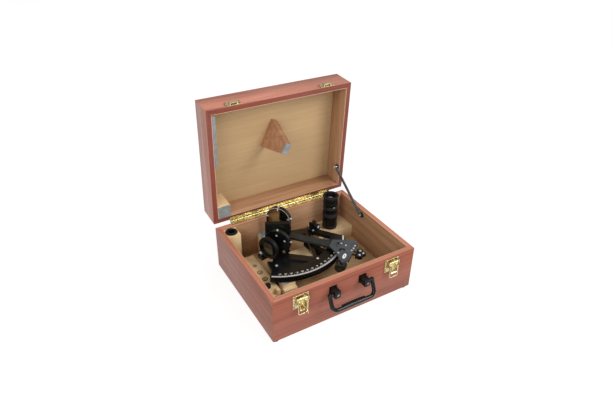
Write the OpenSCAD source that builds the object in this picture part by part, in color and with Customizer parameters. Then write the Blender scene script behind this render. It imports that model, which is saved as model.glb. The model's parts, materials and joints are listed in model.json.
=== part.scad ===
// Marine sextant stowed in its fitted wooden case, lid standing open.
// Millimetres. Origin: centre of the case's footprint, at the bottom of its feet.
// +X runs along the front of the case to the right, the front faces -Y, +Z is up.

/* [Case] */
// Outside width of the case
case_w = 310; // [306:1:320]
// Outside depth of the case
case_d = 250; // [248:1:260]
// Height of the base box without its feet
base_h = 95; // [94:1:100]
// Height of the lid box
lid_h = 52.5; // [52:0.5:60]
// Thickness of the side boards
wall_t = 10.5; // [9:0.5:11]
// Thickness of the bottom and top panels
panel_t = 6; // [4:0.5:7]
// Height of the rubber feet
foot_h = 5; // [4:0.5:8]
// Angle that the lid stands open
lid_open = 87; // [60:1:90]

/* [Hinge and stay] */
// Distance of the hinge pin behind the back face
hinge_back = 4.2; // [4:0.1:5]
// Thickness of a hinge leaf
leaf_t = 1.2; // [1:0.1:1.5]
// Number of knuckles along the hinge
knuckle_n = 16; // [8:2:20]
// Length of one knuckle with its gap
knuckle_pitch = 15; // [10:1:15]
// Radius of the hinge pin
pin_r = 1.25; // [1:0.05:1.4]

/* [Latches and handle] */
// Distance of each latch from the middle
latch_x = 100; // [90:1:110]
// Length of the wire loop
loop_len = 24; // [23:0.5:25]
// Half distance between the handle brackets
bracket_x = 32.5; // [30:0.5:36]
// Drop of the handle from its pivot to its grip
handle_drop = 31; // [28:1:34]
// Angle that the handle stands out from hanging straight down
handle_rest = 25; // [15:1:40]

/* [Sextant] */
// Radius of the graduated arc's outer edge
arc_r = 136; // [134:0.5:137]
// Height of the frame's front face above the table
frame_z = 70; // [69:0.5:71]
// Thickness of the frame's web
web_t = 8; // [6:0.5:9]
// Thickness of the rim under the arc
rim_t = 12; // [10:0.5:12]
// Reading of the arc at rest, in degrees
reading = 4; // [0:1:10]
// Height of the light path above the table
axis_z = 92; // [91:0.5:94]
// Radius of the index arm's spindle
spindle_r = 6; // [5:0.5:7]
// Radius of the telescope tube
telescope_r = 16; // [15:0.5:16]
// Number of index shades
index_shade_n = 4; // [4]
// Number of horizon shades
horizon_shade_n = 3; // [3]

/* [Hidden] */
$fn = 48;

// running clearance of pins in their holes, and the gap between loose parts
run = 0.05;
gap = 0.3;

// case levels
half_w = case_w / 2;
half_d = case_d / 2;
in_x = half_w - wall_t;
in_y = half_d - wall_t;
rim_z = foot_h + base_h;
floor_z = foot_h + panel_t;
lid_z = rim_z + 2 * leaf_t;
lid_top = lid_z + lid_h;
panel_z = lid_top - panel_t;
front_y = -half_d;
foot_in = 9;

// hinge pin
hinge_y = half_d + hinge_back;
hinge_z = rim_z + leaf_t;
hinge_len = knuckle_n * knuckle_pitch;
knuckle_r = 3.2;
leaf_screw_r = 1.4;
leaf_screw_y = half_d - 4;
leaf_screw_x = [-98:28:98];

// latch: the lever's pivot, the loop's pivot and the lock
lever_y = front_y - 6;
lever_z = rim_z - 10;
loop_y = lever_y - 3.8;
loop_z = lever_z - 8;
key_z = rim_z - 26;
lever_foot = rim_z - 31;
wire_r = 1;

// handle pivot
handle_y = front_y - 12;
handle_z = rim_z - 24;
bail_r = 4;
bail_x = bracket_x + 14;

// stay: base stud, and the lid bracket in the closed lid
stay_x = in_x - 4;
stud_y = 33;
stud_z = 88;
stay_y = 73;
stay_z = 110;
open_y = hinge_y + (stay_y - hinge_y) * cos(lid_open) + (stay_z - hinge_z) * sin(lid_open);
open_z = hinge_z - (stay_y - hinge_y) * sin(lid_open) + (stay_z - hinge_z) * cos(lid_open);
stay_tilt = atan2(open_z - stud_z, open_y - stud_y);
stay_len = norm([open_y - stud_y, open_z - stud_z]);

// sextant layout, seen from above
pivot = [-34, 77];
zero_dir = -48;
arm_dir = zero_dir - reading / 2;
arc_from = -125.5;
arc_to = -29;
arm_z = frame_z + 2;
arm_t = 5;
plate_z = arm_z + arm_t;
web_z = frame_z - web_t;
path_dir = -117;
mirror_dir = 2 * (zero_dir + 90) - (path_dir + 180);
horizon = [-58, 30];
shade_d0 = 28.2;
shade_step = 2.5;
shade_t = 2;
index_pin = [-19, 84];
shade_from = [-28.5, 80];
shade_to = [19.5, 124];
index_glass_at = [-4.5, 102];
index_glass_r = 18;
horizon_ring_at = [-1.5, axis_z + 2];
horizon_ring_r = 23;
horizon_glass_r = 16;
mirror_mid = polar(3, zero_dir + 180, horizon);
mirror_z = axis_z + 1.5;
arch_r = 23;
arch_h = 34;
horizon_pin = [-18, 77];
horizon_d0 = 27;
pin_lobe_r = 5;
shade_pin_r = 1.5;
telescope_at = [100, 90];
eyepiece_at = [-130.5, 100.5];
corner_a = [36, 60];
drum_f = 147;
drum_z = 64;
release_f = 166;
tool_at = [-119, -36];
tool_r = 3.6;

// sunk web between the crossbar and the limb
pocket = [[-68, 19], [-11, -29], polar(112, -80), polar(112, -100), polar(110, -118)];

function polar(r, a, c = pivot) = [c[0] + r * cos(a), c[1] + r * sin(a)];

// ---------- shared shapes ----------

module block(x, y, z) {
    translate([x[0], y[0], z[0]]) cube([x[1] - x[0], y[1] - y[0], z[1] - z[0]]);
}

module rod_x(r, x0, x1, y, z) {
    translate([x0, y, z]) rotate([0, 90, 0]) cylinder(r = r, h = x1 - x0);
}

module rod_y(r, y0, y1, x, z) {
    translate([x, y1, z]) rotate([90, 0, 0]) cylinder(r = r, h = y1 - y0);
}

module rod_z(r, z0, z1, at = [0, 0]) {
    translate([at[0], at[1], z0]) cylinder(r = r, h = z1 - z0);
}

module bar2d(a, b, w) {
    d = b - a;
    translate(a) rotate(atan2(d[1], d[0])) translate([0, -w / 2]) square([norm(d), w]);
}

module sector2d(r0, r1, a0, a1) {
    far = 2 * r1;
    steps = [for (i = [0:6]) a0 + (a1 - a0) * i / 6];
    intersection() {
        difference() {
            circle(r1, $fn = 96);
            circle(r0, $fn = 96);
        }
        polygon(concat([[0, 0]], [for (a = steps) [far * cos(a), far * sin(a)]]));
    }
}

// frame of a plane whose normal points along dir: x runs to the right of the normal, y up
module facing(at, z, dir) {
    translate([at[0], at[1], z]) rotate([0, 0, dir]) rotate([90, 0, 90]) children();
}

module screw_z(at, z, r = 2) {
    difference() {
        rod_z(r, z, z + 1.2, at);
        translate([at[0] - r, at[1] - 0.3, z + 0.8]) cube([2 * r, 0.6, 1]);
    }
}

// the closed lid swung open about the hinge pin
module opened() {
    translate([0, hinge_y, hinge_z]) rotate([-lid_open, 0, 0])
        translate([0, -hinge_y, -hinge_z]) children();
}

// ---------- wooden case ----------

module long_board(side, z0, z1) {
    linear_z(z0, z1) polygon([[-half_w, side * half_d], [half_w, side * half_d],
        [in_x, side * in_y], [-in_x, side * in_y]]);
}

module short_board(side, z0, z1) {
    linear_z(z0, z1) polygon([[side * half_w, -half_d], [side * half_w, half_d],
        [side * in_x, in_y], [side * in_x, -in_y]]);
}

module linear_z(z0, z1) {
    translate([0, 0, z0]) linear_extrude(z1 - z0) children();
}

module base_front_board() { color("indianred") long_board(-1, foot_h, rim_z); }
module base_back_board() { color("indianred") long_board(1, foot_h, rim_z); }
module base_left_board() { color("rosybrown") short_board(-1, foot_h, rim_z); }
module base_right_board() { color("rosybrown") short_board(1, foot_h, rim_z); }

module base_bottom_panel() {
    color("burlywood") block([-in_x, in_x], [-in_y, in_y], [foot_h, floor_z]);
}

module rubber_feet() {
    color("dimgray") for (x = [-1, 1], y = [-1, 1])
        translate([x * (half_w - foot_in), y * (half_d - foot_in), 0])
            cylinder(r1 = 6, r2 = 7, h = foot_h);
}

module lid_front_board() { color("indianred") opened() long_board(-1, lid_z, lid_top); }
module lid_back_board() { color("indianred") opened() long_board(1, lid_z, lid_top); }
module lid_left_board() { color("rosybrown") opened() short_board(-1, lid_z, lid_top); }
module lid_right_board() { color("rosybrown") opened() short_board(1, lid_z, lid_top); }

module lid_panel() {
    color("burlywood") opened() block([-in_x, in_x], [-in_y, in_y], [panel_z, lid_top]);
}

// ---------- piano hinge ----------

module leaf(own, z0, z1) {
    x0 = -hinge_len / 2;
    root_y = hinge_y - knuckle_r - gap;
    difference() {
        union() {
            block([x0, -x0], [half_d - 7, root_y], [z0, z1]);
            for (i = [own:2:knuckle_n - 1]) {
                a = x0 + i * knuckle_pitch + 0.2;
                block([a, a + knuckle_pitch - 0.4], [root_y - 1, hinge_y], [z0, z1]);
                rod_x(knuckle_r, a, a + knuckle_pitch - 0.4, hinge_y, hinge_z);
            }
        }
        rod_x(pin_r + run, x0 - 1, -x0 + 1, hinge_y, hinge_z);
    }
}

module hinge_lower_leaf() {
    color("gold") difference() {
        leaf(0, rim_z, hinge_z - run);
        for (x = leaf_screw_x) rod_z(leaf_screw_r + run, rim_z - 1, hinge_z + 1, [x, leaf_screw_y]);
    }
}

module hinge_upper_leaf() { color("gold") opened() leaf(1, hinge_z + run, lid_z); }
module hinge_pin() { color("goldenrod") rod_x(pin_r, -hinge_len / 2, hinge_len / 2, hinge_y, hinge_z); }

// ---------- lid stay ----------

module stay_stud() {
    color("silver") {
        rod_x(6, in_x - 0.8, in_x, stud_y, stud_z);
        rod_x(3, in_x - 2, in_x - 0.8, stud_y, stud_z);
    }
}

module stay_bracket() {
    color("silver") opened() difference() {
        union() {
            rod_x(6.5, in_x - 1.2, in_x, stay_y, stay_z);
            rod_x(2, in_x - 7, in_x - 1.2, stay_y, stay_z);
            rod_x(3.4, in_x - 7.8, in_x - 6.4, stay_y, stay_z);
        }
        for (d = [-1, 1]) rod_x(1, in_x - 1.6, in_x - 0.6, stay_y + 4.2 * d, stay_z);
    }
}

// two rods side by side, joined by an eye at the lid end and a bridge at the base end
module stay_arm() {
    color("dimgray") translate([0, open_y, open_z]) rotate([stay_tilt, 0, 0]) difference() {
        union() {
            rod_x(4.6, stay_x - 1.4, stay_x + 1.4, 0, 0);
            rod_x(4.3, stay_x - 1.3, stay_x + 1.3, -stay_len, 0);
            for (s = [-1, 1]) rod_y(1.7, -stay_len, 0, stay_x, 2.3 * s);
        }
        rod_x(2 + run, stay_x - 3, stay_x + 3, 0, 0);
    }
}

// ---------- latches ----------

module latch_plates() {
    color("palegoldenrod") for (s = [-1, 1]) translate([s * latch_x, 0, 0]) {
        block([-16, 16], [front_y - 1.5, front_y], [rim_z - 33, rim_z - 4]);
        for (e = [-1, 1]) difference() {
            block([e * 11.75 - 0.75, e * 11.75 + 0.75], [lever_y - 3, front_y - 1.5], [lever_z - 4, lever_z + 4]);
            rod_x(1.3, e * 11.75 - 2, e * 11.75 + 2, lever_y, lever_z);
        }
    }
}

module latch_lever(s) {
    translate([s * latch_x, 0, 0]) difference() {
        union() {
            rod_x(2.2, -10.8, 10.8, lever_y, lever_z);
            rod_x(1.25, -12.4, 12.4, lever_y, lever_z);
            block([-7.5, 7.5], [lever_y - 1, lever_y + 1], [lever_foot, lever_z]);
            for (e = [-1, 1]) block([e * 6.75 - 0.75, e * 6.75 + 0.75], [loop_y - 2, lever_y + 1],
                [lever_foot + 2, loop_z + 3]);
        }
        for (e = [-1, 1]) rod_x(wire_r + run, e * 6.75 - 2, e * 6.75 + 2, loop_y, loop_z);
    }
}

module latch_loop(s) {
    side = 9.2;
    translate([s * latch_x, loop_y, loop_z]) {
        for (e = [-1, 1]) {
            rod_z(wire_r, -loop_len + 3, 0, [e * side, 0]);
            translate([e * side, 0, 0]) sphere(wire_r);
            rod_x(wire_r, min(e * 5.2, e * side), max(e * 5.2, e * side), 0, 0);
            translate([e * (side - 3), 0, 3 - loop_len]) rotate([90, 0, 0])
                rotate([0, 0, e > 0 ? -90 : 180]) rotate_extrude(angle = 90) translate([3, 0]) circle(wire_r);
        }
        rod_x(wire_r, 3 - side, side - 3, 0, -loop_len);
    }
}

module latch_lever_left() {
    color("palegoldenrod") difference() {
        union() {
            latch_lever(-1);
            rod_y(4, loop_y - 1.5, lever_y, -latch_x, key_z);
        }
        rod_y(1.2 + run, loop_y - 5, lever_y - 2, -latch_x, key_z);
    }
}

module latch_lever_right() { color("palegoldenrod") latch_lever(1); }
module latch_loop_left() { color("gold") latch_loop(-1); }
module latch_loop_right() { color("gold") latch_loop(1); }

module latch_key() {
    color("gold") {
        rod_y(1.2, loop_y - 7, lever_y - 2.2, -latch_x, key_z);
        translate([-latch_x - 0.8, loop_y - 11.5, key_z]) rotate([90, 0, 90]) linear_extrude(1.6)
            difference() {
                circle(5.4);
                translate([-1.6, 0]) circle(2);
            }
    }
}

// the hooded keeper that a loop bears on, on the lid's front board
module lid_catches() {
    color("palegoldenrod") opened() for (s = [-1, 1]) translate([s * latch_x, 0, 0]) {
        block([-15, 15], [front_y - 1.4, front_y], [lid_z + 1.5, lid_z + 15]);
        difference() {
            block([-8, 8], [front_y - 6, front_y - 1.4], [lid_z + 2, lid_z + 9]);
            block([-6.4, 6.4], [front_y - 4.6, front_y - 1.4], [lid_z + 1, lid_z + 6.5]);
        }
    }
}

// ---------- carrying handle ----------

module handle_brackets() {
    color("black") for (s = [-1, 1]) difference() {
        block([s * bracket_x - 6, s * bracket_x + 6], [front_y - 18, front_y], [handle_z - 7, handle_z + 7]);
        rod_x(3 + run, s * (bracket_x + 2) - 5, s * (bracket_x + 2) + 5, handle_y, handle_z);
    }
}

module carry_handle() {
    bend = 11;
    color("black") translate([0, handle_y, handle_z]) rotate([-handle_rest, 0, 0]) {
        for (s = [-1, 1]) {
            rod_x(3, min(s * (bracket_x - 2), s * bail_x), max(s * (bracket_x - 2), s * bail_x), 0, 0);
            translate([s * bail_x, 0, 0]) sphere(bail_r + 0.6);
            rod_z(bail_r, bend - handle_drop, 0, [s * bail_x, 0]);
            translate([s * (bail_x - bend), 0, bend - handle_drop]) rotate([90, 0, 0])
                rotate([0, 0, s > 0 ? -90 : 180]) rotate_extrude(angle = 90)
                    translate([bend, 0]) circle(bail_r);
        }
        rod_x(bail_r, bend - bail_x, bail_x - bend, 0, -handle_drop);
    }
}

module base_screws() {
    color("goldenrod") {
        for (s = [-1, 1], x = [-14.2, 14.2], z = [-29.5, -7]) rod_y(1.4, front_y - 2.2, front_y - 1.5,
            s * latch_x + x, rim_z + z);
        for (x = leaf_screw_x) rod_z(leaf_screw_r, rim_z, hinge_z - 2 * run, [x, leaf_screw_y]);
    }
}

// ---------- fittings inside the case ----------

module eyepiece_block() {
    color("wheat") difference() {
        block([-in_x, -116.5], [86.5, in_y], [floor_z, 96]);
        rod_z(10.5, 66, 97, eyepiece_at);
    }
}

module accessory_block() {
    color("wheat") difference() {
        block([-in_x, -101], [-53, 66], [floor_z, 50]);
        for (y = [10, -12]) rod_z(4.5, 30, 51, [-113, y]);
        rod_z(3, 30, 51, [-113, 34]);
        rod_z(tool_r + gap, 25, 51, tool_at);
        block([-118, -108], [-60, -45], [38, 51]);
    }
}

module rest_blocks() {
    color("wheat") {
        block([-67, -20], [94, in_y], [floor_z, web_z - 2]);
        block([-96, -68], [-52, -36], [floor_z, frame_z - rim_t - 2]);
        block([-96, -68], [-60, -52], [floor_z, 48]);
        block([50, 70], [16, 38], [floor_z, web_z - 2]);
        block([-30, 8], [-15, 45], [floor_z, 45]);
    }
}

module telescope_block() {
    color("wheat") difference() {
        block([58, in_x], [66, in_y], [floor_z, 40]);
        rod_z(telescope_r + gap, 20, 41, telescope_at);
    }
}

module rest_felts() {
    lift = 1.9;
    color("gray") {
        block([-67, -20], [94, in_y], [web_z - 2, web_z - 2 + lift]);
        block([-96, -68], [-52, -36], [frame_z - rim_t - 2, frame_z - rim_t - 2 + lift]);
        block([50, 70], [16, 38], [web_z - 2, web_z - 2 + lift]);
    }
}

// tapered block on the lid that holds the sextant down by its limb when the lid is shut
module hold_down_at() {
    translate([-8, -28, 0]) rotate([0, 0, -66]) children();
}

module hold_down_block() {
    nose_z = frame_z + 4;
    color("peru") opened() hold_down_at() translate([0, 6, 0]) rotate([90, 0, 0]) linear_extrude(12)
        polygon([[-30, panel_z], [-30, panel_z - 8], [-11.5, nose_z], [11.5, nose_z], [30, panel_z - 8],
            [30, panel_z]]);
}

module lid_corner_block() {
    color("wheat") opened() block([-in_x, -118], [in_y - 28, in_y], [lid_z, panel_z]);
}

module lid_felts() {
    color("gray") opened() {
        hold_down_at() block([-11.5, 11.5], [-6, 6], [frame_z + 0.6, frame_z + 4]);
        block([0.5 - in_x, -118.5], [in_y - 27.5, in_y - 0.5], [lid_z - 2.6, lid_z]);
        block([-in_x, 7 - in_x], [-112, -5], [lid_z + 1, lid_z + 14]);
    }
}

// ---------- sextant frame ----------

module frame_plan() {
    translate(pivot) sector2d(106, 124, arc_from, arc_to);
    translate(pivot) circle(22);
    bar2d(pivot, polar(112, -121), 18);
    bar2d(pivot, corner_a, 18);
    translate(corner_a) circle(11);
    bar2d(corner_a, polar(126, arc_to - 3), 13);
    bar2d([-68, 19], [-11, -29], 17);
    bar2d([22, 62], [-9, -31], 7);
    polygon([[-95.5, 12], [-98.8, -7.5], [-101.2, -26.8], polar(127, -120), [-80, 0]]);
    translate([-70, 40]) circle(15);
    bar2d([-70, 40], [-66, 60], 26);
    bar2d([-70, 40], [-101, 34], 14);
    translate([-66, 60]) circle(14);
}

module rack_teeth() {
    step = 1.5;
    for (a = [arc_from + 1:step:arc_to - 1]) rotate(a) translate([arc_r - 1, -0.9]) square([3, 1.8]);
}

module sextant_frame() {
    color("black") difference() {
        union() {
            linear_z(web_z, frame_z) frame_plan();
            linear_z(web_z, frame_z - 4) polygon(pocket);
            linear_z(frame_z - rim_t, frame_z) translate(pivot) sector2d(122, arc_r, arc_from, arc_to);
            linear_z(frame_z - rim_t + 2, frame_z - 4) translate(pivot) rack_teeth();
            rod_z(11, web_z - 12, web_z, pivot);
        }
        rod_z(spindle_r + run, 0, 200, pivot);
        // seat of the silvered arc
        linear_z(frame_z - 0.8, frame_z + 1) translate(pivot)
            sector2d(arc_r - 4.6, arc_r - 1.2, arc_from + 1, arc_to - 1);
    }
}

module arc_scale() {
    color("gainsboro") linear_z(frame_z - 0.8, frame_z + 0.2) translate(pivot)
        sector2d(arc_r - 4.6, arc_r - 1.2, arc_from + 1, arc_to - 1);
}

module frame_legs() {
    color("black") for (at = [polar(107, -122), polar(117, -42), [-20, 67]]) {
        rod_z(4, 30, web_z, at);
        rod_z(5.5, 25, 30, at);
    }
}

// hand grip behind the frame, on two posts
module grip_handle() {
    grip_r = 10;
    over = 6;
    a = [27, 58];
    b = [40, -11];
    d = b - a;
    color("black") {
        translate([a[0], a[1], 36]) rotate([0, 90, atan2(d[1], d[0])]) translate([0, 0, -over])
            cylinder(r = grip_r, h = norm(d) + 2 * over);
        for (at = [a, b]) rod_z(4.5, 36, web_z, at);
    }
}

module horizon_mirror_mount() {
    depth = 8;
    color("black") {
        difference() {
            intersection() {
                facing(mirror_mid, mirror_z, zero_dir + 90) translate([0, 0, -depth]) cylinder(r = 27.5, h = depth);
                block([-120, 0], [-20, 80], [frame_z + 8.5, 200]);
            }
            facing(mirror_mid, mirror_z, zero_dir + 90) translate([0, 0, -2.2]) cylinder(r = 24, h = 5);
        }
        translate([-72.5, 38.5, frame_z]) rotate([0, 0, zero_dir]) block([-7, 7], [-7, 3], [0, 8.9]);
        for (a = [30, 90, 150]) facing(mirror_mid, mirror_z, zero_dir + 90)
            translate([19 * cos(a), 19 * sin(a), -depth - 1.6]) cylinder(r = 2.2, h = 1.6);
    }
}

module horizon_mirror() {
    color("lightsteelblue") intersection() {
        facing(mirror_mid, mirror_z, zero_dir + 90) translate([0, 0, -2.2]) cylinder(r = 23.9, h = 2);
        block([-120, 0], [-20, 80], [frame_z + 9, 200]);
    }
}

// rising piece that takes the foot of the telescope, with its clamp knob
module telescope_bracket() {
    knob_z = 12;
    color("black") translate([corner_a[0], corner_a[1], frame_z]) rotate([0, 0, mirror_dir]) {
        difference() {
            union() {
                block([-10, 14], [-11, 5], [0, 4]);
                block([-5, 9], [-3, 5], [4, 19]);
            }
            block([-1.8, 5.8], [2, 6], [7, 20]);
        }
        rod_y(2, -8, -3, 2, knob_z);
        rod_y(6, -14, -5.5, 2, knob_z);
        for (x = [-6.5, 10.5]) rod_z(1.8, 4, 4.7, [x, -7.5]);
    }
}

// ---------- shades ----------

// a plane across the light path at distance d from the pivot
module index_plane(d) { facing(polar(d, path_dir), 0, path_dir) children(); }

// a plane across the line of sight at distance d beyond the horizon mirror
module horizon_plane(d) { facing(polar(d, mirror_dir + 180, horizon), 0, mirror_dir + 180) children(); }

module index_shade(i) {
    d = shade_d0 + shade_step * (i - 1);
    index_plane(d) {
        difference() {
            union() {
                linear_extrude(shade_t) translate(shade_from) square(shade_to - shade_from);
                translate([index_pin[0], index_pin[1], 0]) cylinder(r = pin_lobe_r, h = shade_t);
            }
            translate([index_pin[0], index_pin[1], -1]) cylinder(r = shade_pin_r + run, h = shade_t + 2);
            translate([0, 0, -1]) linear_extrude(shade_t + 2) translate(index_glass_at) circle(index_glass_r);
        }
        translate([0, 0, 0.4]) linear_extrude(shade_t - 0.8) translate(index_glass_at)
            circle(index_glass_r - run);
    }
}

module horizon_shade(i) {
    d = horizon_d0 + shade_step * (i - 1);
    horizon_plane(d) {
        difference() {
            union() {
                linear_extrude(shade_t) translate(horizon_ring_at) circle(horizon_ring_r);
                translate([horizon_pin[0], horizon_pin[1], 0]) cylinder(r = pin_lobe_r, h = shade_t);
            }
            translate([horizon_pin[0], horizon_pin[1], -1]) cylinder(r = shade_pin_r + run, h = shade_t + 2);
            translate([0, 0, -1]) linear_extrude(shade_t + 2) translate(horizon_ring_at) circle(horizon_glass_r);
        }
        translate([0, 0, 0.4]) linear_extrude(shade_t - 0.8) translate(horizon_ring_at)
            circle(horizon_glass_r - run);
    }
}

module index_shade_1() { color("darkslategray") index_shade(1); }
module index_shade_2() { color("darkslategray") index_shade(2); }
module index_shade_3() { color("darkslategray") index_shade(3); }
module index_shade_4() { color("darkslategray") index_shade(4); }
module horizon_shade_1() { color("darkgreen") horizon_shade(1); }
module horizon_shade_2() { color("darkgreen") horizon_shade(2); }
module horizon_shade_3() { color("darkgreen") horizon_shade(3); }

// a forked bracket with the pin that a stack of shades turns on
module shade_fork(x, z, d0, n) {
    d1 = d0 + n * shade_step;
    for (d = [d0 - 1.9, d1]) translate([x - 4.5, frame_z, d]) cube([9, z - frame_z + 4, 1.4]);
    translate([x - 4.5, frame_z, d0 - 1.9]) cube([9, 1.6, d1 - d0 + 3.3]);
    translate([x, z, d0 - 1.9]) cylinder(r = shade_pin_r, h = d1 - d0 + 3.3);
}

module shade_brackets() {
    color("black") {
        index_plane(0) shade_fork(index_pin[0], index_pin[1], shade_d0, index_shade_n);
        horizon_plane(0) shade_fork(horizon_pin[0], horizon_pin[1], horizon_d0, horizon_shade_n);
    }
}

// ---------- index arm ----------

// the arm's own plan: x runs out along the arm, y to its left
module on_arm() {
    translate([pivot[0], pivot[1], 0]) rotate([0, 0, arm_dir]) children();
}

module index_arm() {
    color("darkslategray") on_arm() {
        linear_z(arm_z, plate_z) {
            circle(20);
            polygon([[0, -9], [100, -9.5], [112, -11], [141, -11], [141, 11], [112, 11], [100, 9.5], [0, 9]]);
        }
        rod_z(spindle_r, web_z - 14, arm_z);
        rod_z(9, web_z - 17, web_z - 14);
    }
}

// an upright plane across the arm just ahead of the spindle, x out along the arm, y up
module on_mirror(y) {
    on_arm() translate([-2.5, 0, plate_z]) rotate([90, 0, 0]) translate([0, 0, -y]) children();
}

module arch2d(r, foot) {
    translate([-r, foot]) square([2 * r, arch_h - foot]);
    translate([0, arch_h]) circle(r);
}

module index_mirror_frame() {
    back = 8;
    color("black") {
        on_mirror(back) linear_extrude(back + 1.5) difference() {
            arch2d(arch_r + 2.5, 0);
            arch2d(arch_r, 4);
        }
        on_mirror(back) linear_extrude(2) arch2d(arch_r, 4);
    }
}

module index_mirror() {
    color("lightsteelblue") on_mirror(3) linear_extrude(3) arch2d(arch_r - 0.2, 4.2);
}

// cover plate over the limb, with the worm box outside the rack
module micrometer_housing() {
    color("slategray") on_arm() difference() {
        union() {
            linear_z(plate_z, plate_z + 3) polygon([[112, -11], [112, 11], [139, 19], [162, 22.5], [165, 15],
                [160, -43], [151, -54], [131, -27]]);
            block([142, 158], [-26, 16], [61, plate_z]);
        }
        linear_z(plate_z - 1, plate_z + 5) sector2d(124, 129, -4, 3);
        translate([drum_f, 17, drum_z]) rotate([90, 0, 0]) cylinder(r = 2.5 + run, h = 60);
        for (s = [-1, 1]) translate([release_f - 12, s * 5, 66]) rotate([0, 90, 0]) cylinder(r = 1.6 + run,
            h = 10);
    }
}

// knurled drum with the shaft of the tangent screw
module micrometer_drum() {
    color("lightgray") on_arm() translate([drum_f, 0, drum_z]) rotate([90, 0, 0]) {
        translate([0, 0, -12]) cylinder(r = 2.5, h = 60);
        difference() {
            translate([0, 0, 27]) cylinder(r = 8.5, h = 11);
            for (a = [0:15:345]) rotate(a) translate([8.7, 0, 26]) cylinder(r = 0.5, h = 13, $fn = 16);
        }
        translate([0, 0, 38]) cylinder(r = 10.5, h = 16);
    }
}

module release_levers() {
    color("black") on_arm() {
        for (s = [-1, 1]) translate([release_f - 10, s * 5, 66]) rotate([0, 90, 0]) cylinder(r = 1.6, h = 10);
        translate([release_f, -9, 60]) cube([3, 18, 12]);
        rod_z(6.5, 66, 72.5, [release_f + 7, 3.5]);
        rod_z(6.5, 66, 72.5, [release_f + 9, -10]);
        rod_z(5.5, 66, 71, [release_f + 14, 0]);
        block([release_f + 2, release_f + 12], [-9, 8], [63, 66]);
    }
}

// ---------- loose accessories ----------

module telescope_tube() {
    color("black") translate([telescope_at[0], telescope_at[1], 0]) difference() {
        union() {
            rod_z(telescope_r, 20.2, 82);
            rod_z(14.8, 82, 88);
            rod_z(15.6, 88, 96);
            rotate([0, 0, 200]) block([12, 20], [-3.6, 3.6], [44, 66]);
        }
        rod_z(13.4 + run, 60, 97);
        rod_z(12, 19, 61);
    }
}

module telescope_eyepiece() {
    bore_r = 10;
    color("black") translate([telescope_at[0], telescope_at[1], 0]) {
        difference() {
            union() {
                rod_z(13.4, 64, 98);
                rod_z(15.4, 98, 112);
                rod_z(14.2, 112, 120);
            }
            rod_z(bore_r, 63, 121);
        }
        rod_z(bore_r - run, 104, 107);
    }
}

module spare_eyepiece() {
    color("black") difference() {
        union() {
            rod_z(10.2, 66.2, 96.4, eyepiece_at);
            rod_z(11.8, 96.4, 98.2, eyepiece_at);
        }
        rod_z(7, 84, 99, eyepiece_at);
    }
}

module adjusting_key() {
    color("black") {
        rod_z(tool_r, 25.2, 50.4, tool_at);
        rod_z(5, 50.4, 57.5, tool_at);
    }
}

base_front_board();
base_back_board();
base_left_board();
base_right_board();
base_bottom_panel();
rubber_feet();
base_screws();
hinge_lower_leaf();
hinge_pin();
latch_plates();
handle_brackets();
eyepiece_block();
accessory_block();
rest_blocks();
telescope_block();
rest_felts();
stay_stud();
lid_front_board();
lid_back_board();
lid_left_board();
lid_right_board();
lid_panel();
hinge_upper_leaf();
lid_catches();
hold_down_block();
lid_corner_block();
lid_felts();
stay_bracket();
stay_arm();
latch_lever_left();
latch_lever_right();
latch_loop_left();
latch_loop_right();
latch_key();
carry_handle();
sextant_frame();
arc_scale();
frame_legs();
grip_handle();
horizon_mirror_mount();
horizon_mirror();
telescope_bracket();
shade_brackets();
index_arm();
index_mirror_frame();
index_mirror();
micrometer_housing();
micrometer_drum();
release_levers();
index_shade_1();
index_shade_2();
index_shade_3();
index_shade_4();
horizon_shade_1();
horizon_shade_2();
horizon_shade_3();
telescope_tube();
telescope_eyepiece();
spare_eyepiece();
adjusting_key();
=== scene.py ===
import json
import math
import bmesh
import bpy
from mathutils import Matrix, Vector


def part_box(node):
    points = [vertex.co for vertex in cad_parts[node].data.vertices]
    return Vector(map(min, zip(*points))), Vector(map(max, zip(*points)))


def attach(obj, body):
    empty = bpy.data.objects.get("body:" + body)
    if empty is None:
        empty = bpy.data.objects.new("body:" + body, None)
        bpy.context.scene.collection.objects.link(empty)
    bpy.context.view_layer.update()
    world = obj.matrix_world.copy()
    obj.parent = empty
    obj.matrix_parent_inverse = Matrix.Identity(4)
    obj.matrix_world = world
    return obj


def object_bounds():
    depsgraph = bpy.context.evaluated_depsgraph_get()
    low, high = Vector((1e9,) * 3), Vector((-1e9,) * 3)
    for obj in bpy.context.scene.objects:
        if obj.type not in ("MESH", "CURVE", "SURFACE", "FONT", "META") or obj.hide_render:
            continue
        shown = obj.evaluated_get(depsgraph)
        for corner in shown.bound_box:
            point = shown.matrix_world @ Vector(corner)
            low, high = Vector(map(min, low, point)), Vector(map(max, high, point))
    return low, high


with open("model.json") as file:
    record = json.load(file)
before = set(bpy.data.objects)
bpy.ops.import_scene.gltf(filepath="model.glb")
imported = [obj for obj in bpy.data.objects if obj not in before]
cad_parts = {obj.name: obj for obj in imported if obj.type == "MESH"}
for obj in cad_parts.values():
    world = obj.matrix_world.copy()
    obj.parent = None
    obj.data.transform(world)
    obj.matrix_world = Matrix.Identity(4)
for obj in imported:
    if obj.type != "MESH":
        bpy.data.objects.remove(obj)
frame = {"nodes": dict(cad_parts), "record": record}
cad_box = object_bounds()
nodes = frame["nodes"]
joints = {j["name"]: j for j in frame["record"]["behaviour"]["joints"]}
MM = 0.001
X_AXIS, Y_AXIS, Z_AXIS = 0, 1, 2
RIGHT = (1, 0, 0)
LEFT = (-1, 0, 0)
FRONT = (0, -1, 0)
BACK = (0, 1, 0)
UP = (0, 0, 1)
DOWN = (0, 0, -1)

# the height of a fitting's underside, when it is let a little into the face that it sits on
SUNK = -0.1 * MM

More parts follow.
